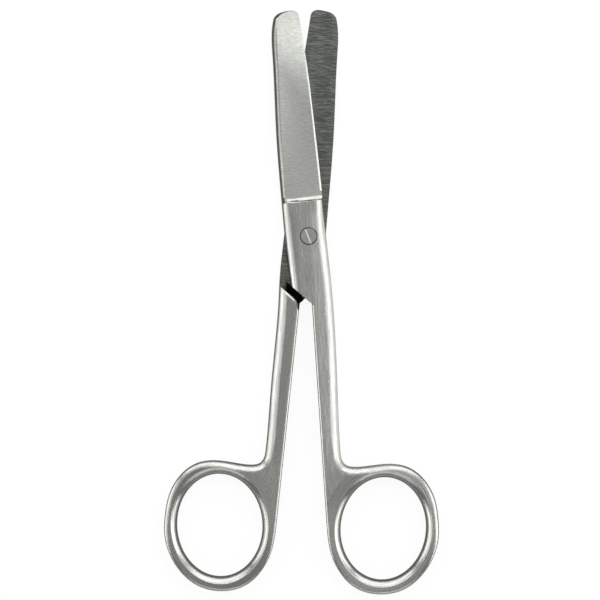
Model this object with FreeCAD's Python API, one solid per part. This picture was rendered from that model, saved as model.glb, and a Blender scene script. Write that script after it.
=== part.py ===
import FreeCAD, Part
import math
import os

# Blunt-nosed surgical scissors, 145 mm over all, lying flat.
# Millimetres. Z is up, Y runs to the tips, X is to the right seen from above.
# The pivot axis is the Z axis and the rest plane is Z = 0.
# Each half is built with its outer face up and its finger ring on the right.
# The lower half is then turned over, and both are swung open to the rest pose.
# Places on a half are given aside from and back of the line where closed shanks meet.

# Thickness of the closed pair and the gap between the two inner faces
pair_thickness = 4.6
face_gap = 0.04

# Swing of each half from closed to the rest pose, in degrees
upper_swing = 3.8
lower_swing = 6.0

# The pivot sits a little to the right of the line where the shanks meet
pivot_shift = 0.37

# Blade outline, measured from the pivot along and across its own middle line
# The spine and the cutting side are pinned at shares of the length, each with its reach
blade_length = 56.3
blade_lean = 1.17
blade_shift = 0.5
blade_reach = 5.12
blade_reach_tip = 3.25
spine_pins = ((0.45, 5.0), (0.8, 4.22))
edge_pins = ((0.4, 4.85), (0.8, 4.0))
tip_corner = 1.9
tip_crown = 0.45
tip_lean = 0.06
nose_lean = 0.3

# Blade section
tip_spine_thickness = 1.45
edge_thickness = 0.45
spine_round = 1.9
tip_round = 1.3
grind_inset = 0.9

# Where the grinding of the outer face runs out, and the grinding of the inner face
plunge_place = 8.58
plunge_tilt = 2.0
plunge_radius = 1.15
bevel_width = 0.37
edge_land = 0.15
hollow_depth = 0.14
hollow_width = 7.4
hollow_start = 12.5
hollow_tip_share = 0.55

# Box, the lap of the two halves round the pivot, and the shoulder behind it
box_reach = 5.45
box_reach_back = 10.4
box_corner_aside = 4.7
box_corner_back = 11.75
throat_back = 16.85
shoulder_outer_back = 13.2
shoulder_bend_aside = 1.5
shoulder_bend_back = 15.85
shoulder_inner_back = 18.5
shoulder_end_lean = 0.25
shoulder_chamfer = 0.45

# Shank
shank_gap = 0.06
shank_top_width = 5.35
shank_middle_width = 5.1
shank_end_width = 4.75
shank_top_back = 18.0
shank_end_back = 54.7
shank_end_lean = 0.02
outer_round = 2.15
inner_round = 0.6

# Crotch, as steps aside and back from the end of the shank's outer edge
crotch_steps = ((1.08, 2.64), (2.3, 3.17), (4.4, 3.37))

# Finger ring, with an oval hole
ring_aside = 14.1
ring_back = 73.77
ring_lean = 9.0
ring_hole_width = 21.2
ring_hole_length = 25.45
ring_bevel_side = 1.55
ring_bevel_end = 1.85
ring_bevel_drop = 2.2
ring_leave_back = 70.5
ring_round = 1.75

# Reach of the ring's outside from the hole's middle, from its top round to the shank
# Each is given with its direction, in degrees upwards from straight aside
ring_top_reach = (85, 16.03)
ring_reaches = (
    (65, 16.45),
    (45, 15.84),
    (25, 14.74),
    (5, 13.88),
    (-15, 13.95),
    (-35, 14.37),
    (-55, 15.07),
    (-75, 15.94),
    (-95, 16.33),
    (-110, 16.39),
    (-125, 16.06),
    (-140, 15.27),
    (-155, 14.6),
    (-170, 14.08),
)

# Pivot screw
head_diameter = 3.94
head_height = 1.05
head_sink = 0.04
neck_diameter = 3.0
thread_diameter = 2.6
slot_width = 0.5
slot_depth = 0.5
slot_turn = 21.3
head_clearance = 0.1
neck_clearance = 0.03
thread_clearance = 0.01
head_play = 0.02

# Worked out from the sizes above
inner_face = (pair_thickness + face_gap) / 2
clear = 2 * blade_length
tilt_rise = math.tan(math.radians(plunge_tilt))
joint_place = plunge_place + plunge_radius + bevel_width

# How near an edge has to lie to a line to be taken as over it, and the longest seam to leave out
touch = 0.0001
seam = 1


def point(x, y, z=0.0):
    return FreeCAD.Vector(x, y, z)


def swung(place, degrees):
    """A point of the plan turned about the foot of the Z axis."""
    turn = math.radians(degrees)
    x = place.x * math.cos(turn) - place.y * math.sin(turn)
    y = place.x * math.sin(turn) + place.y * math.cos(turn)
    return point(x, y, place.z)


def blade_point(hand, across, along, z=0.0):
    """A point given across and along the blade's middle line, with the spine at the left."""
    return swung(point(across, along, z), hand * blade_lean) - point(hand * blade_shift, 0)


def blade_placed(hand, shape):
    """A shape drawn on the blade's middle line, moved to its place on the half."""
    placed = shape.copy()
    placed.rotate(point(0, 0), point(0, 0, 1), hand * blade_lean)
    placed.translate(point(-hand * blade_shift, 0))
    return placed


def curve(points, start, end):
    """A smooth curve through the points, with its direction given at both ends."""
    line = Part.BSplineCurve()
    line.interpolate(Points=points, InitialTangent=start, FinalTangent=end, Scale=False)
    return line


def prism(edges, bottom, top):
    """A closed plan outline raised from one height to another."""
    face = Part.Face(Part.Wire(edges))
    face.translate(point(0, 0, bottom))
    return face.extrude(point(0, 0, top - bottom))


def edges_over(shape, line, bottom, top):
    """The shape's edges that pass over the middle of a plan edge between two heights."""
    middle = line.valueAt((line.FirstParameter + line.LastParameter) / 2)
    column = Part.makeLine(middle + point(0, 0, bottom - touch), middle + point(0, 0, top + touch))
    near = [edge for edge in shape.Edges if edge.distToShape(column)[0] < touch]
    return [edge for edge in near if edge.BoundBox.DiagonalLength > seam]


def rounded(shape, rounds):
    """The shape with edges rounded, each from one radius at its start to another at its end."""
    document = FreeCAD.newDocument("rounding")
    base = document.addObject("Part::Feature", "Base")
    base.Shape = shape
    feature = document.addObject("Part::Fillet", "Round")
    feature.Base = base
    numbered = list(enumerate(shape.Edges, 1))
    feature.Edges = [
        (number, start, end)
        for edge, start, end in rounds
        for number, other in numbered
        if other.isSame(edge)
    ]
    document.recompute()
    result = feature.Shape.copy()
    FreeCAD.closeDocument(document.Name)
    return result


def ring_point(degrees, reach):
    """A point given by its direction and its reach from the middle of the ring's hole."""
    return swung(point(reach, 0), degrees) + point(ring_aside, -ring_back)


def crotch_curve():
    """The outline from the shank's outer edge through the crotch to the top of the ring."""
    start = point(shank_end_width, -shank_end_back)
    steps = [start + point(aside, -back) for aside, back in crotch_steps]
    return curve([start] + steps + [ring_point(*ring_top_reach)], point(shank_end_lean, -1), point(1, 0))


def ring_curve():
    """The outside of the finger ring, from its top round to the shank's inner edge."""
    around = [ring_point(degrees, reach) for degrees, reach in ring_reaches]
    end = point(shank_gap, -ring_leave_back)
    return curve([ring_point(*ring_top_reach)] + around + [end], point(1, 0), point(0, 1))


def outer_curve(hand):
    """The outer edge from the end of the ground face down to the ring."""
    points = [
        blade_point(hand, blade_reach, joint_place + tilt_rise * blade_reach),
        blade_point(hand, blade_reach, plunge_place / 2),
        blade_point(hand, box_reach, -box_reach_back),
        point(shank_top_width, -shank_top_back),
        point(shank_middle_width, -(shank_top_back + shank_end_back) / 2),
        point(shank_end_width, -shank_end_back),
    ]
    return curve(points, swung(point(0, -1), hand * blade_lean), point(shank_end_lean, -1))


def spine_curve(hand):
    """The spine side of the box, from its free corner up to the end of the ground face."""
    points = [
        blade_point(hand, -box_corner_aside, -box_corner_back),
        blade_point(hand, -blade_reach, plunge_place / 2),
        blade_point(hand, -blade_reach, joint_place - tilt_rise * blade_reach),
    ]
    return curve(points, point(-tip_lean, 1), swung(point(0, 1), hand * blade_lean))


def shank_blank(hand):
    """Box, shank and ring at their full thickness, with the outside rounded."""
    outer = outer_curve(hand)
    ring = ring_curve()
    spine = spine_curve(hand)
    throat = point(shank_gap, -throat_back)
    outline = [
        outer.toShape(),
        crotch_curve().toShape(),
        ring.toShape(),
        Part.makeLine(ring.EndPoint, throat),
        Part.makeLine(throat, spine.StartPoint),
        spine.toShape(),
        Part.makeLine(spine.EndPoint, outer.StartPoint),
    ]
    blank = prism(outline, 0, pair_thickness)
    rounds = []
    ends = (
        (outer_round, outer_round),
        (outer_round, ring_round),
        (ring_round, inner_round),
        (inner_round, inner_round),
    )
    for height in (0, pair_thickness):
        for line, (start, end) in zip(outline, ends):
            rounds += [(edge, start, end) for edge in edges_over(blank, line, height, height)]
    blank = rounded(blank, rounds)
    return blank.makeFillet(spine_round, edges_over(blank, outline[5], pair_thickness, pair_thickness))


def edge_curve(hand):
    """The cutting side of the blade, from the end of the ground face to the nose."""
    start = blade_point(hand, blade_reach, joint_place + tilt_rise * blade_reach)
    pins = [blade_point(hand, reach, share * blade_length) for share, reach in edge_pins]
    end = blade_point(hand, blade_reach_tip, blade_length - 2 * tip_corner / 3)
    along = swung(point(0, 1), hand * blade_lean)
    return curve([start] + pins + [end], along, swung(point(-tip_lean, 1), hand * blade_lean))


def blade_blank(hand):
    """The blade beyond the box, with its top falling to the tip and its spine rounded."""
    start_spine = blade_point(hand, -blade_reach, joint_place - tilt_rise * blade_reach)
    spine_end = blade_point(hand, -blade_reach_tip, blade_length - tip_corner)
    pins = [blade_point(hand, -reach, share * blade_length) for share, reach in spine_pins]
    edge = edge_curve(hand)
    turning_in = swung(point(nose_lean, 1), hand * blade_lean)
    spine = curve([start_spine] + pins + [spine_end], swung(point(0, 1), hand * blade_lean), turning_in)
    nose = curve([
        spine_end,
        blade_point(hand, -blade_reach_tip + 3 * tip_corner / 4, blade_length - tip_crown),
        blade_point(hand, tip_corner / 10, blade_length),
        blade_point(hand, blade_reach_tip - tip_corner / 3, blade_length - 2 * tip_crown / 3),
        edge.EndPoint,
    ], turning_in, swung(point(nose_lean, -1), hand * blade_lean))
    outline = [
        spine.toShape(),
        nose.toShape(),
        edge.toShape(),
        Part.makeLine(edge.StartPoint, start_spine),
    ]
    blank = prism(outline, inner_face, pair_thickness)
    fall = pair_thickness - inner_face - tip_spine_thickness
    slope = math.degrees(math.atan2(fall, blade_length - joint_place))
    taper = Part.makeBox(clear, clear, clear, point(-clear / 2, 0, 0))
    taper.rotate(point(0, 0), point(1, 0, 0), -slope)
    taper.rotate(point(0, 0), point(0, 0, 1), plunge_tilt)
    taper.translate(point(0, joint_place, pair_thickness))
    blank = blank.cut(blade_placed(hand, taper))
    low = inner_face + tip_spine_thickness / 2
    rounds = []
    for line, start in zip(outline, (spine_round, tip_round)):
        rounds += [(top, start, tip_round) for top in edges_over(blank, line, low, pair_thickness)]
    return rounded(blank, rounds)


def grinding(hand):
    """What the wheel takes off the blade's outer face, with its round run-out at the box."""
    root_fall = pair_thickness - inner_face - edge_thickness
    root_slope = root_fall / (2 * blade_reach - grind_inset)
    tip_slope = (tip_spine_thickness - edge_thickness) / (2 * blade_reach_tip - grind_inset)
    side = 2 * blade_reach
    root = []
    tip = []
    for across in (-side, side):
        root_top = pair_thickness - root_slope * (across + blade_reach - grind_inset)
        root.append(point(across, plunge_place + tilt_rise * across, root_top))
        tip_top = inner_face + tip_spine_thickness - tip_slope * (across + blade_reach_tip - grind_inset)
        tip.append(point(across, blade_length, tip_top))
    beyond = [end + (end - start) / 10 for start, end in zip(root, tip)]
    sections = []
    for low_left, low_right in (root, beyond):
        lift_left = point(low_left.x, low_left.y, clear)
        lift_right = point(low_right.x, low_right.y, clear)
        sections.append(Part.makePolygon([low_left, low_right, lift_right, lift_left, low_left]))
    wheel = Part.makeLoft(sections, True, True)
    foot = Part.Vertex((root[0] + root[1]) / 2)
    ends = [edge for edge in wheel.Edges if edge.distToShape(foot)[0] < touch]
    return blade_placed(hand, wheel.makeFillet(plunge_radius, ends))


def hollow(hand):
    """The shallow trough ground along the blade's inner face."""
    sections = []
    for along, share in ((hollow_start, 1), (blade_length + tip_corner, hollow_tip_share)):
        left = point(-share * hollow_width / 2, along, inner_face)
        right = point(share * hollow_width / 2, along, inner_face)
        crown = point(0, along, inner_face + share * hollow_depth)
        arc = Part.Arc(left, crown, right).toShape()
        lower = point(0, 0, -pair_thickness)
        down = [right, right + lower, left + lower, left]
        sections.append(Part.Wire([arc] + Part.makePolygon(down).Edges))
    return blade_placed(hand, Part.makeLoft(sections, True, True))


def bevel(hand):
    """What the stone takes off along the cutting edge."""
    edge = edge_curve(hand)
    first = edge.parameterAtDistance(2 * bevel_width, edge.FirstParameter)
    before_end = edge.value(edge.parameterAtDistance(-tip_corner, edge.LastParameter))
    tail = edge.EndPoint + (edge.EndPoint - before_end)
    path = Part.Wire([edge.toShape(first, edge.LastParameter), Part.makeLine(edge.EndPoint, tail)])
    path.translate(point(0, 0, inner_face + edge_land))
    rise = (edge_thickness - edge_land) / bevel_width
    start = path.Edges[0].valueAt(path.Edges[0].FirstParameter)
    out = swung(point(1, 0), hand * blade_lean)
    outside = start + out - point(0, 0, rise)
    inside = start - out * 2 * bevel_width + point(0, 0, 2 * bevel_width * rise)
    above = start + out + point(0, 0, 2 * bevel_width * rise)
    profile = Part.makePolygon([outside, inside, above, outside])
    return path.makePipeShell([profile], True, False)


def lap_room():
    """The room for the other half's box and blade, with the shoulder as its end."""
    slant = (shoulder_bend_back - shoulder_outer_back) / (shank_top_width - shoulder_bend_aside)
    outer_aside = 2 * shank_top_width
    outer = point(outer_aside, -shoulder_bend_back + slant * (outer_aside - shoulder_bend_aside))
    bend = point(shoulder_bend_aside, -shoulder_bend_back)
    inner = point(shank_gap, -shoulder_inner_back)
    way = swung(point(-1, 0), math.degrees(math.atan(slant)))
    turn = curve([bend, inner], way, point(-shoulder_end_lean, -1))
    corners = [
        inner,
        point(-clear, -shoulder_inner_back),
        point(-clear, clear),
        point(outer_aside, clear),
        outer,
        bend,
    ]
    outline = Part.makePolygon(corners).Edges + [turn.toShape()]
    room = prism(outline, -pair_thickness, inner_face)
    corner = Part.Face(Part.Wire(outline))
    corner.translate(point(0, 0, shoulder_chamfer))
    back = point(shoulder_chamfer, -2 * shoulder_chamfer, -2 * shoulder_chamfer)
    return room.fuse(corner.extrude(back))


def flare(width, rise):
    """How far the hole has opened at a height over its waist, on a round that opens by the width at the face."""
    radius = (width ** 2 + ring_bevel_drop ** 2) / (2 * width)
    on_round = min(rise, ring_bevel_drop)
    depth = math.sqrt(radius ** 2 - on_round ** 2)
    return radius - depth + (rise - on_round) * on_round / depth


def ring_hole():
    """The ring's hole, flared to both faces by a round that meets them at a crease."""
    wires = []
    for side in (-1, 1):
        for share in (0, 0.3, 0.55, 0.75, 0.9, 1, 1.05):
            rise = share * ring_bevel_drop
            length = ring_hole_length / 2 + flare(ring_bevel_end, rise)
            width = ring_hole_width / 2 + flare(ring_bevel_side, rise)
            wire = Part.Wire(Part.Ellipse(point(0, 0), length, width).toShape())
            wire.rotate(point(0, 0), point(0, 0, 1), 90 - ring_lean)
            waist = pair_thickness / 2 + side * (pair_thickness / 2 - ring_bevel_drop)
            wire.translate(point(ring_aside, -ring_back, waist + side * rise))
            wires.append(wire)
    below, above = wires[:len(wires) // 2], wires[len(wires) // 2:]
    parts = [
        Part.makeLoft(below, True),
        Part.makeLoft([below[0], above[0]], True, True),
        Part.makeLoft(above, True),
    ]
    return parts[0].fuse(parts[1:])


def half(hand):
    """One half with its outer face up, not yet drilled for the screw."""
    body = shank_blank(hand).fuse(blade_blank(hand))
    for tool in (grinding(hand), lap_room(), hollow(hand), bevel(hand), ring_hole()):
        body = body.cut(tool)
    return body.removeSplitter()


def drilled(body, hand, diameter, bottom, top):
    hole = Part.makeCylinder(diameter / 2, top - bottom, point(hand * pivot_shift, 0, bottom))
    return body.cut(hole)


def upper_half():
    """The half on top, with the seat of the screw's head, swung to its rest pose."""
    body = drilled(half(1), 1, neck_diameter + 2 * neck_clearance, 0, clear)
    seat = pair_thickness - head_sink - head_height - head_play
    body = drilled(body, 1, head_diameter + 2 * head_clearance, seat, clear)
    body.translate(point(-pivot_shift, 0))
    body.rotate(point(0, 0), point(0, 0, 1), upper_swing)
    return body


def lower_half():
    """The half beneath, turned over, with the hole that holds the screw."""
    body = drilled(half(-1), -1, thread_diameter + 2 * thread_clearance, 0, clear)
    body.rotate(point(0, 0), point(0, 1, 0), 180)
    body.translate(point(-pivot_shift, 0, pair_thickness))
    body.rotate(point(0, 0), point(0, 0, 1), -lower_swing)
    return body


def pivot_screw():
    """The slotted screw that the upper half turns on, flush with the lower half's outer face."""
    thread_top = pair_thickness - inner_face
    head_top = pair_thickness - head_sink
    head_bottom = head_top - head_height
    thread = Part.makeCylinder(thread_diameter / 2, thread_top)
    neck = Part.makeCylinder(neck_diameter / 2, head_bottom - thread_top, point(0, 0, thread_top))
    head = Part.makeCylinder(head_diameter / 2, head_height, point(0, 0, head_bottom))
    slot = Part.makeBox(slot_width, 2 * head_diameter, head_height)
    slot.translate(point(-slot_width / 2, -head_diameter, head_top - slot_depth))
    slot.rotate(point(0, 0), point(0, 0, 1), slot_turn)
    return thread.fuse([neck, head]).cut(slot).removeSplitter()


nodes = {
    "lower_half": lower_half(),
    "upper_half": upper_half(),
    "pivot_screw": pivot_screw(),
}
os.makedirs("parts", exist_ok=True)
for name, shape in nodes.items():
    solid = shape.Solids[0]
    print(name, len(shape.Solids), shape.isValid(), round(shape.Volume, 1), len(shape.Faces), shape.BoundBox)
    solid.exportStep("parts/" + name + ".step")
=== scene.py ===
# %% [markdown]
# # Blunt-nosed surgical scissors
# Two forged and ground halves of stainless steel turn on one slotted screw.
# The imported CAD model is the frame: its halves have the true shape, so they stay and get their finish here.
# Satin steel has hardly any colour of its own, so its look comes from three things:
# the direction of the grinding marks, how rough they are, and what stands round the steel to be mirrored.

# %% The frame
import bmesh
import bpy
import math
import numpy as np
from mathutils import Matrix, Vector


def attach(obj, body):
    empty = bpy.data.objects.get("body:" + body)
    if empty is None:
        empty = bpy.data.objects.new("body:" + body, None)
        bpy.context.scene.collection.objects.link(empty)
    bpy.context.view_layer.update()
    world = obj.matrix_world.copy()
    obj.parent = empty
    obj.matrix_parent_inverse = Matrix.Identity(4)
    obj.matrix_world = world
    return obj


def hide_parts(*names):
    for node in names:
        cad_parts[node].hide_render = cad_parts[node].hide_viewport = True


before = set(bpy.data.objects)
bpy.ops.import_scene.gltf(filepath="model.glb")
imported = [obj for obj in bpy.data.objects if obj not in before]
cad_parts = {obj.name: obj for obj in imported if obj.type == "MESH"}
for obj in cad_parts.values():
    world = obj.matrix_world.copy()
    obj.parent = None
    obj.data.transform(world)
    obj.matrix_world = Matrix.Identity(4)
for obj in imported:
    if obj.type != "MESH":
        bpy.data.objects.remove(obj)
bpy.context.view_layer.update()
MM = 0.001

# %% [markdown]
# ## Small helpers
# A colour is written as the sRGB hex value that a picture shows, and Blender calculates with linear light.
# One function does that step for every colour.
# A shader is a chain of nodes, so the other helper adds a node, sets it and fills its sockets in one go.
# A socket takes a number, another node, or one named output of another node.
# A third one starts each material with an empty chain.


# %% Colour and node helpers
def linear(hex_code):
    """The sRGB curve undone: below 0.04045 a straight line, above it a power of 2.4."""
    levels = np.array([int(hex_code[i:i + 2], 16) for i in (1, 3, 5)]) / 255
    light = np.where(levels <= 0.04045, levels / 12.92, ((levels + 0.055) / 1.055) ** 2.4)
    return (*light.tolist(), 1.0)


def add_node(tree, kind, settings=None, inputs=None):
    """Adds a node, sets its settings, and sets or links its inputs, each given by name or number."""
    node = tree.nodes.new("ShaderNode" + kind)
    for name, value in (settings or {}).items():
        setattr(node, name, value)
    for key, value in (inputs or {}).items():
        socket = node.inputs[key] if isinstance(key, int) else next(
            s for s in node.inputs if s.name == key and s.enabled)
        if isinstance(value, bpy.types.Node):
            value = next(s for s in value.outputs if s.enabled)
        if isinstance(value, bpy.types.NodeSocket):
            tree.links.new(value, socket)
        else:
            socket.default_value = value
    return node


def new_material(name):
    """A material whose node tree is still empty, and that tree."""
    material = bpy.data.materials.new(name)
    material.use_nodes = True
    material.node_tree.nodes.clear()
    return material, material.node_tree


MIX = {"data_type": "FLOAT"}
MIX_COLOUR = {"data_type": "RGBA"}
MIX_VECTOR = {"data_type": "VECTOR"}
SMOOTH = {"interpolation_type": "SMOOTHSTEP"}
print("a mid grey of #808080 is linear", round(linear("#808080")[0], 3))

# %% [markdown]
# ## Where the grinding marks run
# Each half is ground in several goes, and each go leaves its own direction of marks.
# The wheel goes across the blade, the belt goes along the box and the shank, and round the finger ring.
# One half could be cut into pieces with a material each, but then the zones would meet in a hard step.
# Instead one material works out the zone from the place on the half, in the half's own axes.
# Those axes have the ring on the right, the blade upwards and the outer face towards the viewer, in mm.
# A Mapping node makes them from Object coordinates, with the same turns that place the half in the frame.

# %% How the halves lie
PIVOT_SHIFT = 0.37
THICKNESS = 4.6
BLADE_LEAN, BLADE_SHIFT = 1.17, 0.5
RING_CENTRE = (14.1, -73.77)
RING_LEAN = 9.0
RING_MIDDLE_WIDTH, RING_MIDDLE_LENGTH = 12.25, 14.5
RING_RADIUS = (RING_MIDDLE_WIDTH + RING_MIDDLE_LENGTH) / 2
PLUNGE_PLACE, PLUNGE_TILT = 8.58, 2.0
PLUNGE_WAY = (-math.tan(math.radians(PLUNGE_TILT)), 1, 0)

# hand is the side of the ring, bore the radius of the screw's hole, swing and over the turns of the half,
# foot its lift, and edge the heights of the normal between which painted shade darkens its outer edge.
HALF_PLACES = {
    "upper_half": {
        "hand": 1, "bore": 2.07, "swing": 3.8, "over": 0, "foot": 0,
        "edge": {"From Min": 0.45, "From Max": 0.1}},
    "lower_half": {
        "hand": -1, "bore": 1.31, "swing": -6.0, "over": math.pi, "foot": THICKNESS,
        "edge": {"From Min": 0.72, "From Max": 0.4}},
}
print("the ring's bar runs at", RING_RADIUS, "mm from the ring's middle, taken as a circle")


# %% The halves' own axes
def own_axes(tree, place):
    """Three places in millimetres: on the half, on its blade's middle line, and on its ring."""
    coordinates = add_node(tree, "TexCoord")
    half = add_node(tree, "Mapping", None, {
        "Vector": coordinates.outputs["Object"],
        "Scale": (1 / MM, 1 / MM, 1 / MM),
        "Rotation": (0, place["over"], math.radians(-place["hand"] * place["swing"])),
        "Location": (place["hand"] * PIVOT_SHIFT, 0, place["foot"]),
    })
    blade = add_node(tree, "Mapping", {"vector_type": "TEXTURE"}, {
        "Vector": half,
        "Rotation": (0, 0, math.radians(place["hand"] * BLADE_LEAN)),
        "Location": (-place["hand"] * BLADE_SHIFT, 0, 0),
    })
    ring = add_node(tree, "Mapping", {"vector_type": "TEXTURE"}, {
        "Vector": half,
        "Rotation": (0, 0, math.radians(-RING_LEAN)),
        "Location": (*RING_CENTRE, 0),
    })
    return half, blade, ring


for name, place in HALF_PLACES.items():
    print(name, "is turned by", place["swing"], "degrees")

# %% [markdown]
# ## Marks of the wheel and the belt
# A grinding mark is a scratch a few hundredths of a millimetre wide and several millimetres long.
# It could be drawn as a bump alone, but at this size a pixel is a quarter of a millimetre.
# So the marks are drawn about 0.2 mm wide, as stretched noise: quick across the mark and slow along it.
# The same noise makes the steel a little rougher, a little darker and a little uneven in slope.


# %% Noise stretched along the marks
MARK_WIDTH = 0.22
MARK_LENGTH = 7.0
COARSE_MARK_WIDTH = 0.2
COARSE_MARK_LENGTH = 3.2
CROSSING_TURNS = (9.0, -6.0)
NOISE = {"Detail": 2.0, "Roughness": 0.6}


def streaks(tree, place, size, turn=0.0):
    """Noise of the place, turned by some degrees and then divided by the mark's size in mm on each axis."""
    stretched = add_node(tree, "Mapping", {"vector_type": "TEXTURE"}, {
        "Vector": place, "Rotation": (0, 0, math.radians(turn)), "Scale": size})
    return add_node(tree, "TexNoise", None, {"Vector": stretched, "Scale": 1.0, **NOISE})


def ring_streaks(tree, ring):
    """Noise in four dimensions round the ring: quick on the way out from its middle, slow on the way round.

    The place is squeezed to a circle of the ring's middle radius, so that a mark follows the bar.
    """
    squeezed = add_node(tree, "VectorMath", {"operation": "MULTIPLY"}, {0: ring, 1: (
        RING_RADIUS / RING_MIDDLE_WIDTH, RING_RADIUS / RING_MIDDLE_LENGTH, 0)})
    out = add_node(tree, "VectorMath", {"operation": "LENGTH"}, {0: squeezed})
    way = add_node(tree, "VectorMath", {"operation": "NORMALIZE"}, {0: squeezed})
    round_it = add_node(tree, "VectorMath", {"operation": "SCALE"}, {
        0: way, "Scale": RING_RADIUS / MARK_LENGTH})
    height = add_node(tree, "VectorMath", {"operation": "MULTIPLY"}, {
        0: ring, 1: (0, 0, 1 / MARK_WIDTH)})
    vector = add_node(tree, "VectorMath", {"operation": "ADD"}, {0: round_it, 1: height})
    quick = add_node(tree, "Math", {"operation": "MULTIPLY"}, {0: out.outputs["Value"], 1: 1 / MARK_WIDTH})
    noise = add_node(tree, "TexNoise", {"noise_dimensions": "4D"}, {
        "Vector": vector, "W": quick, "Scale": 1.0, **NOISE})
    return noise, out.outputs["Value"], way


print("a mark is", round(MARK_LENGTH / MARK_WIDTH), "times as long as it is wide")

# %% [markdown]
# ## Zones
# A zone is a mask from 0 to 1 with a soft border, because a hand-held wheel never stops on a line.
# A border is written as the two figures between which the mask grows, as a Map Range node takes them.
# The blade's outer face starts at the plunge, the slanted place where the wheel was lifted off.
# The inner face is told by its normal, which points away from the outer face.


# %% The blade, the inner face and the ring
BLADE_BORDER = {"From Min": PLUNGE_PLACE - 0.1, "From Max": PLUNGE_PLACE + 0.3}
LOOKS_IN = {"From Min": 0.9, "From Max": 0.98}
OFF_THE_FOOT = {"From Min": 1.0, "From Max": 1.5}
RING_BORDER = {"From Min": RING_RADIUS * 1.3, "From Max": RING_RADIUS * 1.14}


def blade_zone(tree, blade):
    """How far a place is beyond the plunge, which is a line tilted across the blade."""
    beyond = add_node(tree, "VectorMath", {"operation": "DOT_PRODUCT"}, {0: blade, 1: PLUNGE_WAY})
    return add_node(tree, "MapRange", SMOOTH, {"Value": beyond.outputs["Value"], **BLADE_BORDER})


def inner_zone(tree, place, half):
    """The faces that look away from the outer face and lie at half the pair's thickness."""
    normal = add_node(tree, "TexCoord").outputs["Normal"]
    facing = add_node(tree, "VectorMath", {"operation": "DOT_PRODUCT"}, {
        0: normal, 1: (0, 0, -place["hand"])})
    looks_in = add_node(tree, "MapRange", SMOOTH, {"Value": facing.outputs["Value"], **LOOKS_IN})
    height = add_node(tree, "SeparateXYZ", None, {0: half}).outputs["Z"]
    lifted = add_node(tree, "MapRange", SMOOTH, {"Value": height, **OFF_THE_FOOT})
    return add_node(tree, "Math", {"operation": "MULTIPLY"}, {0: looks_in, 1: lifted})


def half_zones(tree, place, half, blade, out):
    """The masks that choose a finish. The crossed one is the blade and the inner face together."""
    on_blade = blade_zone(tree, blade)
    lap = inner_zone(tree, place, half)
    not_lap = add_node(tree, "Math", {"operation": "SUBTRACT"}, {0: 1.0, 1: lap})
    return {
        "ring": add_node(tree, "MapRange", SMOOTH, {"Value": out, **RING_BORDER}),
        "blade": on_blade,
        "lap": lap,
        "crossed": add_node(tree, "Math", {"operation": "MAXIMUM"}, {0: on_blade, 1: lap}),
        "outer_blade": add_node(tree, "Math", {"operation": "MULTIPLY"}, {0: on_blade, 1: not_lap}),
    }


print("the blade's finish starts", PLUNGE_PLACE, "mm from the pivot")

# %% [markdown]
# ## Painted shade
# The narrow sides get painted shade: their colour darkens with their tilt, standing in for the dark
# surroundings they mirror.
# The blade's back is rounded over, so its painted shade starts at a smaller tilt than on the other sides.
# Two places get painted shade, nearly black: the corner where the lap meets the shoulder, a deep narrow slot,
# and the fine gap between the screw's head and its seat.


# %% Painted shade on steep sides, in the shoulder's corner and in the screw's gap
FLANK_SLOPE = {"From Min": 0.8, "From Max": 0.45}
BACK_SLOPE = {"From Min": 0.91, "From Max": 0.81}
OUTER_SIDE = {"From Min": 2.0, "From Max": 3.0}
OUTER_SIDE_END = {"From Min": -60.0, "From Max": -54.0}
BACK_SIDE = {"From Min": -1.0, "From Max": -2.0}
# The shoulder's bend, ways and borders place the painted shade in the lap's corner.
SHOULDER_BEND = (1.5, -15.85, 0)
SHOULDER_WAYS = ((-0.567, 0.824, 0), (-0.879, 0.477, 0))
CORNER_BORDER = {"From Min": 2.5, "From Max": 1.7}
CORNER_END = {"From Min": 4.6, "From Max": 3.6}
# The gap's reach and core place painted shade round the mouth of the screw's bore.
GAP_REACH, GAP_CORE = 0.18, 0.04


def steep_zone(tree, slope):
    """A mask that grows while the normal's height falls from the slope's first figure to its second."""
    normal = add_node(tree, "TexCoord").outputs["Normal"]
    height = add_node(tree, "SeparateXYZ", None, {0: normal}).outputs["Z"]
    level = add_node(tree, "Math", {"operation": "ABSOLUTE"}, {0: height})
    return add_node(tree, "MapRange", SMOOTH, {"Value": level, **slope})


def flank_shade_zone(tree, place, half, outer_blade):
    """Painted shade on steep sides, with a slope of its own for the shank's outer edge and another for the
    blade's back.
    """
    places = add_node(tree, "SeparateXYZ", None, {0: half})
    outside = add_node(tree, "MapRange", SMOOTH, {"Value": places.outputs["X"], **OUTER_SIDE})
    above_ring = add_node(tree, "MapRange", SMOOTH, {"Value": places.outputs["Y"], **OUTER_SIDE_END})
    at_edge = add_node(tree, "Math", {"operation": "MULTIPLY"}, {0: outside, 1: above_ring})
    flank_shade = add_node(tree, "Mix", MIX, {
        "Factor": at_edge, "A": steep_zone(tree, FLANK_SLOPE), "B": steep_zone(tree, place["edge"])})
    back = add_node(tree, "MapRange", SMOOTH, {"Value": places.outputs["X"], **BACK_SIDE})
    at_back = add_node(tree, "Math", {"operation": "MULTIPLY"}, {0: back, 1: outer_blade})
    return add_node(tree, "Mix", MIX, {"Factor": at_back, "A": flank_shade, "B": steep_zone(tree, BACK_SLOPE)})


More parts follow.
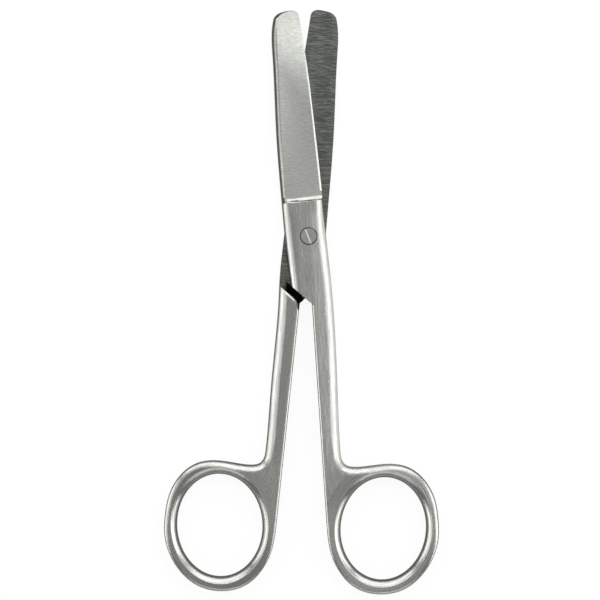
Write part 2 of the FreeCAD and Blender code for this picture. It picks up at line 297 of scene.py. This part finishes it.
def corner_shade_zone(tree, half, lap):
    """Painted shade on the lap's strip along the shoulder, by the further of the distances from the
    shoulder's two lines.
    """
    bent = add_node(tree, "VectorMath", {"operation": "SUBTRACT"}, {0: half, 1: SHOULDER_BEND})
    outer = add_node(tree, "VectorMath", {"operation": "DOT_PRODUCT"}, {0: bent, 1: SHOULDER_WAYS[0]})
    inner = add_node(tree, "VectorMath", {"operation": "DOT_PRODUCT"}, {0: bent, 1: SHOULDER_WAYS[1]})
    off = add_node(tree, "Math", {"operation": "MAXIMUM"}, {
        0: outer.outputs["Value"], 1: inner.outputs["Value"]})
    near = add_node(tree, "MapRange", SMOOTH, {"Value": off, **CORNER_BORDER})
    aside = add_node(tree, "SeparateXYZ", None, {0: half}).outputs["X"]
    covered = add_node(tree, "MapRange", SMOOTH, {"Value": aside, **CORNER_END})
    strip = add_node(tree, "Math", {"operation": "MULTIPLY"}, {0: near, 1: covered})
    return add_node(tree, "Math", {"operation": "MULTIPLY"}, {0: strip, 1: lap})


def gap_shade_zone(tree, radius):
    """Painted shade on the wall of the screw's bore and a fine line round its mouth, by the distance from the
    pivot axis.
    """
    place = add_node(tree, "TexCoord").outputs["Object"]
    flat = add_node(tree, "VectorMath", {"operation": "MULTIPLY"}, {0: place, 1: (1 / MM, 1 / MM, 0)})
    out = add_node(tree, "VectorMath", {"operation": "LENGTH"}, {0: flat})
    return add_node(tree, "MapRange", SMOOTH, {
        "Value": out.outputs["Value"], "From Min": radius + GAP_REACH, "From Max": radius + GAP_CORE})


first_dark = math.degrees(math.acos(FLANK_SLOPE["From Min"]))
print("sides begin to turn dark at", round(first_dark), "degrees of tilt")

# %% [markdown]
# ## What the belt and the wheel do to the flats
# A flat that was ground by hand is never quite flat.
# The belt gives way under the steel, so it leans the box and the shank over at both edges.
# The wheel leaves the blade a little hollow, runs out towards the plunge, and leans its nose over.
# The belt's leans and the hollow are 3 to 6 degrees, and the run-out and the nose come to 11 or 12.
# From above they hardly change the outline, but steel mirrors them at twice their angle.
# The CAD faces stay as they are, and a bump with heights in millimetres tilts what they mirror.


# %% Heights in millimetres
OUTER_LEAN = {"From Min": 0.6, "From Max": 4.6, "To Max": -0.25}
SPINE_LEAN = {"From Min": -2.2, "From Max": -5.2, "To Max": -0.12}
ABOVE_THE_RING = {"From Min": -60.0, "From Max": -50.0}
BEFORE_THE_PLUNGE = {"From Min": 8.2, "From Max": 3.5}
NOSE_WAY = (1.5, 1, 0)
NOSE_START, NOSE_TURN = 38.0, 0.0055
RUN_OUT_WAY = (0.12, 1, 0)
RUN_OUT = {"From Min": 7.8, "From Max": 9.3, "To Max": -0.2}
HOLLOW_TURN = 0.013
HOLLOW = {"From Min": 10.0, "From Max": 34.0, "To Max": HOLLOW_TURN / 2}


def belt_lean(tree, half):
    """Smooth steps down towards the outer edge and the spine, faded out at the ring and the plunge."""
    places = add_node(tree, "SeparateXYZ", None, {0: half})
    outer = add_node(tree, "MapRange", SMOOTH, {"Value": places.outputs["X"], **OUTER_LEAN})
    spine = add_node(tree, "MapRange", SMOOTH, {"Value": places.outputs["X"], **SPINE_LEAN})
    sides = add_node(tree, "Math", {"operation": "ADD"}, {0: outer, 1: spine})
    above_ring = add_node(tree, "MapRange", SMOOTH, {"Value": places.outputs["Y"], **ABOVE_THE_RING})
    sides = add_node(tree, "Math", {"operation": "MULTIPLY"}, {0: sides, 1: above_ring})
    before = add_node(tree, "MapRange", SMOOTH, {"Value": places.outputs["Y"], **BEFORE_THE_PLUNGE})
    return add_node(tree, "Math", {"operation": "MULTIPLY"}, {0: sides, 1: before})


def wheel_lean(tree, blade):
    """The square of the distance past the nose's start, a step at the run-out, and a hollow across."""
    rolled = add_node(tree, "VectorMath", {"operation": "DOT_PRODUCT"}, {0: blade, 1: NOSE_WAY})
    from_start = add_node(tree, "Math", {"operation": "SUBTRACT"}, {
        0: rolled.outputs["Value"], 1: NOSE_START})
    past = add_node(tree, "Math", {"operation": "MAXIMUM"}, {0: from_start, 1: 0.0})
    squared = add_node(tree, "Math", {"operation": "POWER"}, {0: past, 1: 2.0})
    beyond = add_node(tree, "VectorMath", {"operation": "DOT_PRODUCT"}, {0: blade, 1: RUN_OUT_WAY})
    run_out = add_node(tree, "MapRange", SMOOTH, {"Value": beyond.outputs["Value"], **RUN_OUT})
    faces = add_node(tree, "Math", {"operation": "MULTIPLY_ADD"}, {
        0: squared, 1: -NOSE_TURN / 2, 2: run_out})
    places = add_node(tree, "SeparateXYZ", None, {0: blade})
    bowl = add_node(tree, "Math", {"operation": "POWER"}, {0: places.outputs["X"], 1: 2.0})
    grown = add_node(tree, "MapRange", SMOOTH, {"Value": places.outputs["Y"], **HOLLOW})
    return add_node(tree, "Math", {"operation": "MULTIPLY_ADD"}, {0: bowl, 1: grown, 2: faces})


# A smooth step is one and a half times as steep in its middle as a straight ramp.
steepest = 1.5 * -OUTER_LEAN["To Max"] / (OUTER_LEAN["From Max"] - OUTER_LEAN["From Min"])
print("the belt leans the outer edge over by up to", round(math.degrees(math.atan(steepest)), 1), "degrees")

# %% [markdown]
# ## Satin-ground stainless steel
# The halves are forged from hardened stainless steel and ground to a satin finish, not polished.
# To the eye that is a grey mirror, blurred more across the marks than along them.
# The Principled shader does that with its anisotropy, and its tangent says which way the blur goes.
# The tangent lies across the marks: along the blade, across the shank, and outwards on the ring.
# The inner faces are ground more coarsely, with crossing marks, and look darker.


# %% Colours and direction of the steel
STEEL = "#CFD0CC"
STEEL_IN_A_MARK = "#B2B4AE"
INNER_STEEL = "#9DA099"
INNER_STEEL_IN_A_MARK = "#575A54"
# The flanks' colour below is painted shade: it darkens the steep sides in place of the dark surroundings they
# mirror.
PAINTED_FLANK_SHADE = "#434541"
# The corner's colour below is painted shade, nearly black, for the deep slot by the shoulder and for the
# screw's gap.
PAINTED_CORNER_SHADE = "#0C0E0C"
MARK_SHARE = {"From Min": 0.32, "From Max": 0.68}
INNER_MARK_SHARE = {"From Min": 0.42, "From Max": 0.78}


def steel_colour(tree, place, half, zones, marks):
    """Steel darker in its marks, coarse steel on the lap, then painted shade on the flanks, the shoulder's
    corner and the screw's gap.
    """
    share = add_node(tree, "MapRange", SMOOTH, {"Value": marks, **MARK_SHARE})
    inner_share = add_node(tree, "MapRange", SMOOTH, {"Value": marks, **INNER_MARK_SHARE})
    ground = add_node(tree, "Mix", MIX_COLOUR, {
        "Factor": share, "A": linear(STEEL_IN_A_MARK), "B": linear(STEEL)})
    coarse = add_node(tree, "Mix", MIX_COLOUR, {
        "Factor": inner_share, "A": linear(INNER_STEEL_IN_A_MARK), "B": linear(INNER_STEEL)})
    colour = add_node(tree, "Mix", MIX_COLOUR, {"Factor": zones["lap"], "A": ground, "B": coarse})
    # Painted shade darkens the steep sides by their tilt.
    flank_shade = flank_shade_zone(tree, place, half, zones["outer_blade"])
    colour = add_node(tree, "Mix", MIX_COLOUR, {"Factor": flank_shade, "A": colour, "B": linear(PAINTED_FLANK_SHADE)})
    # Painted shade, nearly black, in the shoulder's corner and round the screw's bore.
    painted_shade = add_node(tree, "Math", {"operation": "MAXIMUM"}, {
        0: corner_shade_zone(tree, half, zones["lap"]), 1: gap_shade_zone(tree, place["bore"])})
    colour = add_node(tree, "Mix", MIX_COLOUR, {"Factor": painted_shade, "A": colour, "B": linear(PAINTED_CORNER_SHADE)})
    return colour, share


def blur_direction(tree, place, zones, way):
    """Across the shank, outwards on the ring and along the blade, turned as the half lies in the frame."""
    turn = math.radians(place["swing"])
    lean = turn + math.radians(BLADE_LEAN)
    mirrored = add_node(tree, "VectorMath", {"operation": "MULTIPLY"}, {0: way, 1: (place["hand"], 1, 1)})
    outwards = add_node(tree, "VectorRotate", {"rotation_type": "Z_AXIS"}, {
        "Vector": mirrored, "Angle": turn - place["hand"] * math.radians(RING_LEAN)})
    tangent = add_node(tree, "Mix", MIX_VECTOR, {
        "Factor": zones["ring"], "A": (math.cos(turn), math.sin(turn), 0), "B": outwards})
    tangent = add_node(tree, "Mix", MIX_VECTOR, {
        "Factor": zones["crossed"], "A": tangent, "B": (-math.sin(lean), math.cos(lean), 0)})
    return add_node(tree, "VectorTransform", {
        "vector_type": "VECTOR", "convert_from": "OBJECT", "convert_to": "WORLD"}, {"Vector": tangent})


print("light steel is", STEEL, "and the darkest marks of the inner faces are", INNER_STEEL_IN_A_MARK)

# %% The steel of the halves
SATIN_ROUGHNESS = 0.28
BLADE_ROUGHNESS = 0.31
INNER_ROUGHNESS = 0.40
MARK_ROUGHNESS = 0.06
MARK_HEIGHT = 0.007
SATIN_STRETCH, BLADE_STRETCH = 0.6, 0.5


def grinding_marks(tree, half, blade, zones, ring_marks):
    """Noise along the half, round the ring, across the blade, and crossing on the inner faces."""
    along_marks = streaks(tree, half, (MARK_WIDTH, MARK_LENGTH, MARK_WIDTH))
    across_marks = streaks(tree, blade, (MARK_LENGTH, MARK_WIDTH, MARK_WIDTH))
    coarse_size = (COARSE_MARK_LENGTH, COARSE_MARK_WIDTH, COARSE_MARK_LENGTH)
    crossing = [streaks(tree, blade, coarse_size, turn) for turn in CROSSING_TURNS]
    inner_marks = add_node(tree, "Math", {"operation": "MAXIMUM"}, {0: crossing[0], 1: crossing[1]})
    marks = add_node(tree, "Mix", MIX, {"Factor": zones["ring"], "A": along_marks, "B": ring_marks})
    marks = add_node(tree, "Mix", MIX, {"Factor": zones["blade"], "A": marks, "B": across_marks})
    return add_node(tree, "Mix", MIX, {"Factor": zones["lap"], "A": marks, "B": inner_marks})


def satin_ground_steel(name):
    """Zones choose the noise, the tangent and the roughness of one metal shader."""
    place = HALF_PLACES[name]
    material, tree = new_material("satin_ground_stainless_" + name)
    half, blade, ring = own_axes(tree, place)
    ring_marks, out, way = ring_streaks(tree, ring)
    zones = half_zones(tree, place, half, blade, out)
    marks = grinding_marks(tree, half, blade, zones, ring_marks)
    colour, share = steel_colour(tree, place, half, zones, marks)

    rough = add_node(tree, "Mix", MIX, {
        "Factor": zones["blade"], "A": SATIN_ROUGHNESS, "B": BLADE_ROUGHNESS})
    rough = add_node(tree, "Mix", MIX, {"Factor": zones["lap"], "A": rough, "B": INNER_ROUGHNESS})
    uneven = add_node(tree, "Math", {"operation": "MULTIPLY_ADD"}, {
        0: share, 1: -MARK_ROUGHNESS, 2: MARK_ROUGHNESS / 2})
    roughness = add_node(tree, "Math", {"operation": "ADD"}, {0: rough, 1: uneven})
    stretch = add_node(tree, "Mix", MIX, {
        "Factor": zones["blade"], "A": SATIN_STRETCH, "B": BLADE_STRETCH})

    leans = add_node(tree, "Mix", MIX, {
        "Factor": zones["outer_blade"], "A": belt_lean(tree, half), "B": wheel_lean(tree, blade)})
    height = add_node(tree, "Math", {"operation": "MULTIPLY_ADD"}, {0: marks, 1: MARK_HEIGHT, 2: leans})
    bump = add_node(tree, "Bump", None, {"Height": height, "Strength": 1.0, "Distance": MM})
    steel = add_node(tree, "BsdfPrincipled", None, {
        "Base Color": colour, "Metallic": 1.0, "Roughness": roughness, "Anisotropic": stretch,
        "Tangent": blur_direction(tree, place, zones, way), "Normal": bump})
    add_node(tree, "OutputMaterial", None, {"Surface": steel})
    return material


for name in HALF_PLACES:
    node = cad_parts[name]
    steel = satin_ground_steel(name)
    for slot in node.material_slots:
        slot.material = steel
    print(name, "wears", steel.name, "of", len(steel.node_tree.nodes), "nodes")

# %% [markdown]
# ## The pivot screw
# A small steel screw is turned down through both halves, and its head is ground flush with the upper one.
# It could stay the CAD cylinder, but the head's fine rim and the slot's broken lips catch the light.
# So it is made anew as two grids that share one loop of points.
# The head's top is ruled by lines along the slot.
# The side is its outer loop carried down the screw's profile.


# %% The head's top
HEAD_RADIUS, HEAD_TOP = 1.97, 4.56
RIM_ROUND, LIP_ROUND = 0.08, 0.04
SLOT_WIDTH, SLOT_DEPTH, SLOT_FLOOR, SLOT_TURN = 0.5, 0.22, 0.14, 21.3
# The slot's floor is narrow and lies right of the middle, so that the left wall leans and mirrors light.
FLOOR_POINTS = ((-0.06, 0.01), (0, 0), (0.05, 0.02))
LIP_STEPS, SIDE_STEPS, ALONG_STEPS = 5, 14, 17


def slot_section():
    """Across the slot: a leaning wall down to the floor, a steep wall up, a round at each lip, the rim."""
    lip = np.radians(np.linspace(90, 0, LIP_STEPS))
    left_lip = np.stack([
        -SLOT_WIDTH / 2 - LIP_ROUND * (1 - np.cos(lip)), -LIP_ROUND * (1 - np.sin(lip))], -1)
    right_lip = left_lip[::-1] * (-1, 1)
    floor_line = np.array(FLOOR_POINTS) + (SLOT_FLOOR, -SLOT_DEPTH)
    groove = np.concatenate([left_lip, floor_line, right_lip])
    lip_angle = np.arcsin(right_lip[-1, 0] / (HEAD_RADIUS - RIM_ROUND))
    rest = (HEAD_RADIUS - RIM_ROUND) * np.sin(np.linspace(lip_angle, np.pi / 2, SIDE_STEPS)[1:])
    across = np.concatenate([-rest[::-1], groove[:, 0], rest])
    drop = np.concatenate([np.zeros(rest.size), groove[:, 1], np.zeros(rest.size)])
    return across, drop


def head_top():
    """Rows across the slot by columns along it: each row is a chord of the circle inside the rim."""
    across, drop = slot_section()
    chord = np.sqrt(np.maximum((HEAD_RADIUS - RIM_ROUND) ** 2 - across ** 2, 0))
    along = np.sin(np.linspace(-np.pi / 2, np.pi / 2, ALONG_STEPS))
    x = np.repeat(across[:, None], along.size, 1)
    y = chord[:, None] * along[None, :]
    z = HEAD_TOP + np.repeat(drop[:, None], along.size, 1)
    return np.stack([x, y, z], -1)


top = head_top()
print("the head's top is a grid of", top.shape[0], "by", top.shape[1], "points")

# %% The screw's side
HEAD_BOTTOM = 3.51
NECK_RADIUS, THREAD_RADIUS, THREAD_TOP = 1.5, 1.3, 2.28
RIM_START, RIM_STEPS = 15, 6


def screw_side(loop):
    """The loop round the head's top carried down: out round the rim, then in steps to the screw's end."""
    rim = np.radians(np.linspace(RIM_START, 90, RIM_STEPS))
    radius = np.concatenate([HEAD_RADIUS - RIM_ROUND * (1 - np.sin(rim)),
                             [HEAD_RADIUS, NECK_RADIUS, NECK_RADIUS, THREAD_RADIUS, THREAD_RADIUS, 0]])
    way = loop[:, :2] / np.linalg.norm(loop[:, :2], axis=1)[:, None]
    rounded = loop[None, :, 2] - RIM_ROUND * (1 - np.cos(rim))[:, None]
    levels = np.array([HEAD_BOTTOM, HEAD_BOTTOM, THREAD_TOP, THREAD_TOP, 0, 0])
    below = np.repeat(levels[:, None], loop.shape[0], 1)
    z = np.concatenate([rounded, below])
    return np.concatenate([radius[:, None, None] * way[None], z[:, :, None]], -1)


def grid_faces(rows, columns, start=0):
    """Quads between neighbours of a grid whose points are numbered row by row."""
    corner = start + np.arange(rows - 1)[:, None] * columns + np.arange(columns - 1)[None, :]
    return np.stack([corner, corner + 1, corner + columns + 1, corner + columns], -1).reshape(-1, 4)


last = top.shape[0] - 1
loop = np.concatenate([top[:, -1], top[last - 1:0:-1, 0], top[:1, 0]])
side = np.concatenate([loop[None], screw_side(loop)])
print("the side carries a loop of", len(loop) - 1, "points down in", len(side) - 1, "steps")

# %% [markdown]
# ## From arrays to a closed piece
# Both grids go into one mesh, and points that fall on each other are merged, so that the shell is closed.
# Its normals are then worked out afresh, so that every face looks outwards.


# %% The screw itself
MERGE = 1e-4
CREASE = 35


def mesh_object(name, points, faces):
    """A mesh from arrays in millimetres, with doubled points merged and faces turned outwards."""
    mesh = bpy.data.meshes.new(name)
    mesh.from_pydata((points * MM).tolist(), [], faces.tolist())
    shape = bmesh.new()
    shape.from_mesh(mesh)
    bmesh.ops.remove_doubles(shape, verts=shape.verts, dist=MERGE * MM)
    bmesh.ops.dissolve_degenerate(shape, edges=shape.edges, dist=MERGE * MM)
    bmesh.ops.recalc_face_normals(shape, faces=shape.faces)
    shape.to_mesh(mesh)
    shape.free()
    made = bpy.data.objects.new(name, mesh)
    bpy.context.scene.collection.objects.link(made)
    return made


turn = math.radians(SLOT_TURN)
turned = np.array([[math.cos(turn), math.sin(turn), 0], [-math.sin(turn), math.cos(turn), 0], [0, 0, 1]])
points = np.concatenate([top.reshape(-1, 3), side.reshape(-1, 3)]) @ turned
faces = np.concatenate([
    grid_faces(top.shape[0], top.shape[1]),
    grid_faces(side.shape[0], side.shape[1], top.shape[0] * top.shape[1]),
])
screw = mesh_object("pivot_screw_turned", points, faces)
screw.data.polygons.foreach_set("use_smooth", np.ones(len(screw.data.polygons), bool))
screw.data.set_sharp_from_angle(angle=math.radians(CREASE))
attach(screw, "lower")
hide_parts("pivot_screw")
print("screw:", len(screw.data.polygons), "faces")

# %% [markdown]
# ## The screw's steel
# The head was faced off on a lathe and then ground with the box, so fine rings show under a few long marks.
# Rings are noise of the distance from the axis, and the marks are the belt's, as on the halves.


# %% Turned steel
SCREW_STEEL = "#CFD0CC"
SCREW_STEEL_IN_A_RING = "#ACAEA8"
RINGS_PER_MM = 6.0
RING_HEIGHT = 0.004
SCREW_ROUGHNESS, SCREW_ROUGHNESS_DROP = 0.36, 0.1
SCREW_STRETCH = 0.5


def turned_steel():
    """Noise of the distance from the axis, quick outwards, mixed with marks along the scissors."""
    material, tree = new_material("turned_stainless_screw")
    coordinates = add_node(tree, "TexCoord").outputs["Object"]
    place = add_node(tree, "VectorMath", {"operation": "SCALE"}, {0: coordinates, "Scale": 1 / MM})
    flat = add_node(tree, "VectorMath", {"operation": "MULTIPLY"}, {0: place, 1: (1, 1, 0)})
    out = add_node(tree, "VectorMath", {"operation": "LENGTH"}, {0: flat})
    rings = add_node(tree, "TexNoise", {"noise_dimensions": "1D"}, {
        "W": out.outputs["Value"], "Scale": RINGS_PER_MM, **NOISE})
    marks = streaks(tree, place, (MARK_WIDTH, MARK_LENGTH, MARK_WIDTH))
    both = add_node(tree, "Mix", MIX, {"Factor": 0.5, "A": rings, "B": marks})
    colour = add_node(tree, "Mix", MIX_COLOUR, {
        "Factor": both, "A": linear(SCREW_STEEL_IN_A_RING), "B": linear(SCREW_STEEL)})
    bump = add_node(tree, "Bump", None, {"Height": both, "Distance": RING_HEIGHT * MM})
    roughness = add_node(tree, "Math", {"operation": "MULTIPLY_ADD"}, {
        0: both, 1: -SCREW_ROUGHNESS_DROP, 2: SCREW_ROUGHNESS})
    steel = add_node(tree, "BsdfPrincipled", None, {
        "Base Color": colour, "Metallic": 1.0, "Roughness": roughness, "Anisotropic": SCREW_STRETCH,
        "Tangent": add_node(tree, "Tangent", {"direction_type": "RADIAL", "axis": "Y"}), "Normal": bump})
    add_node(tree, "OutputMaterial", None, {"Surface": steel})
    return material


screw.data.materials.append(turned_steel())
print("the screw wears", screw.data.materials[0].name)

# %% [markdown]
# ## The table
# The scissors lie on a white table that runs out of the picture on all sides.
# A plain diffuse sheet keeps their soft shadow. Part of its light is its own, as on a light table,
# so that it is white to the camera and in the steel alike.

# %% Floor
FLOOR_WHITE = "#F7F7F6"
GLOW_SHARE = 0.9
GLOW = 1.03
FLOOR_HALF = 1500
FLOOR_DROP = 0.02
FLOOR_SIGNS = np.array([[-1, -1, 0], [1, -1, 0], [1, 1, 0], [-1, 1, 0]])
floor = mesh_object("table_floor", FLOOR_HALF * FLOOR_SIGNS, np.array([[0, 1, 2, 3]]))
floor.data.transform(Matrix.Translation((0, 0, -FLOOR_DROP * MM)))
material, tree = new_material("white_light_table")
seen = add_node(tree, "LightPath")
direct = add_node(tree, "Math", {"operation": "MAXIMUM"}, {
    0: seen.outputs["Is Camera Ray"], 1: seen.outputs["Is Glossy Ray"]})
direct = add_node(tree, "Math", {"operation": "MAXIMUM"}, {
    0: direct, 1: seen.outputs["Is Transmission Ray"]})
own_light = add_node(tree, "Math", {"operation": "MULTIPLY"}, {0: direct, 1: GLOW_SHARE})
diffuse = add_node(tree, "BsdfDiffuse", None, {"Color": linear(FLOOR_WHITE)})
glow = add_node(tree, "Emission", None, {"Color": (1, 1, 1, 1), "Strength": GLOW})
both = add_node(tree, "MixShader", None, {0: own_light, 1: diffuse, 2: glow})
add_node(tree, "OutputMaterial", None, {"Surface": both})
floor.data.materials.append(material)
print("the floor is", 2 * FLOOR_HALF * MM, "m wide")

# %% [markdown]
# ## Light for satin steel
# Steel is lit by what it mirrors, so each lamp is a large panel and its edges matter more than its power.
# The flats look straight up into the dim ceiling round the camera and stay grey.
# A narrow strip beside the camera lifts them where the belt began to lean them over.
# The front blade is a wedge that tilts 10.5 degrees to the right and mirrors what stands at 21,
# so the bright strip on the right starts only at 29: the blade stays grey and rounded edges turn white.
# The strip on the left is weaker, and with its panel it gives the fine bright lines along the spines.
# The ones behind light the rings' upper rounds, a weak one in the far corner lights the blade's nose,
# and the one in front lights the round at the top of each ring's hole.


# %% Panels
PANEL_DISTANCE = 1.1
# Each panel: degrees clockwise from the tips, lower and upper degrees off the zenith, width in m, level.
PANELS = {
    "strip_right_near": (90, 4, 12, 0.43, 1.15),
    "strip_right_far": (90, 29, 62, 0.6, 1.6),
    "panel_right": (90, 58, 94, 1.4, 1.9),
    "strip_left_high": (-90, 24, 60, 0.6, 1.0),
    "panel_left": (-90, 60, 92, 1.2, 2.0),
    "panel_behind": (0, 46, 88, 2.4, 1.7),
    "panel_behind_high": (0, 22, 46, 1.3, 1.7),
    "panel_corner": (50, 26, 48, 0.45, 0.45),
    "panel_front": (180, 34, 66, 1.2, 0.85),
}


def panel(name, azimuth, low, high, width, level):
    """A rectangle from one angle off the zenith to another, seen from the object, facing its middle.

    Power is the level of its white times its area times pi, so that a level of 1 mirrors as paper white.
    """
    tall = 2 * PANEL_DISTANCE * math.tan(math.radians(high - low) / 2)
    lean, way = math.radians((low + high) / 2), math.radians(azimuth)
    light = bpy.data.lights.new(name, "AREA")
    light.shape = "RECTANGLE"
    light.size, light.size_y = width, tall
    light.energy = level * math.pi * width * tall
    lamp = bpy.data.objects.new(name, light)
    off = Vector((math.sin(way) * math.sin(lean), math.cos(way) * math.sin(lean), math.cos(lean)))
    lamp.location = off * PANEL_DISTANCE
    lamp.rotation_mode = "QUATERNION"
    lamp.rotation_quaternion = off.to_track_quat("Z", "Y")
    bpy.context.scene.collection.objects.link(lamp)
    return lamp


for name, place in PANELS.items():
    lamp = panel(name, *place)
    print(name, "is", round(lamp.data.size_y, 2), "m tall")

# %% The ceiling round the camera
CEILING = "#727271"
world = bpy.data.worlds.new("dim_ceiling")
world.use_nodes = True
world.node_tree.nodes.clear()
ceiling = add_node(world.node_tree, "Background", None, {"Color": linear(CEILING), "Strength": 1.0})
add_node(world.node_tree, "OutputWorld", None, {"Surface": ceiling})
bpy.context.scene.world = world
print("the ceiling is", CEILING)

# %% [markdown]
# ## The camera
# The photograph was taken from straight above, and the camera stands 0.7 m over the table.
# One pixel of 600 is 0.249 mm at the scissors, which fixes the lens once the distance is chosen.

# %% Camera
PICTURE_WIDTH = 149.4
CAMERA_HEIGHT = 700
PICTURE_MIDDLE = (-2.14, -15.86)
SENSOR_WIDTH = 36
camera_data = bpy.data.cameras.new("camera")
camera_data.sensor_width = SENSOR_WIDTH
camera_data.lens = SENSOR_WIDTH * (CAMERA_HEIGHT - THICKNESS / 2) / PICTURE_WIDTH
camera_data.clip_start, camera_data.clip_end = 0.01, 10
camera = bpy.data.objects.new("camera", camera_data)
camera.location = (PICTURE_MIDDLE[0] * MM, PICTURE_MIDDLE[1] * MM, CAMERA_HEIGHT * MM)
bpy.context.scene.collection.objects.link(camera)
bpy.context.scene.camera = camera
bpy.context.scene.view_settings.view_transform = "Standard"
print("lens in mm:", round(camera_data.lens, 1))
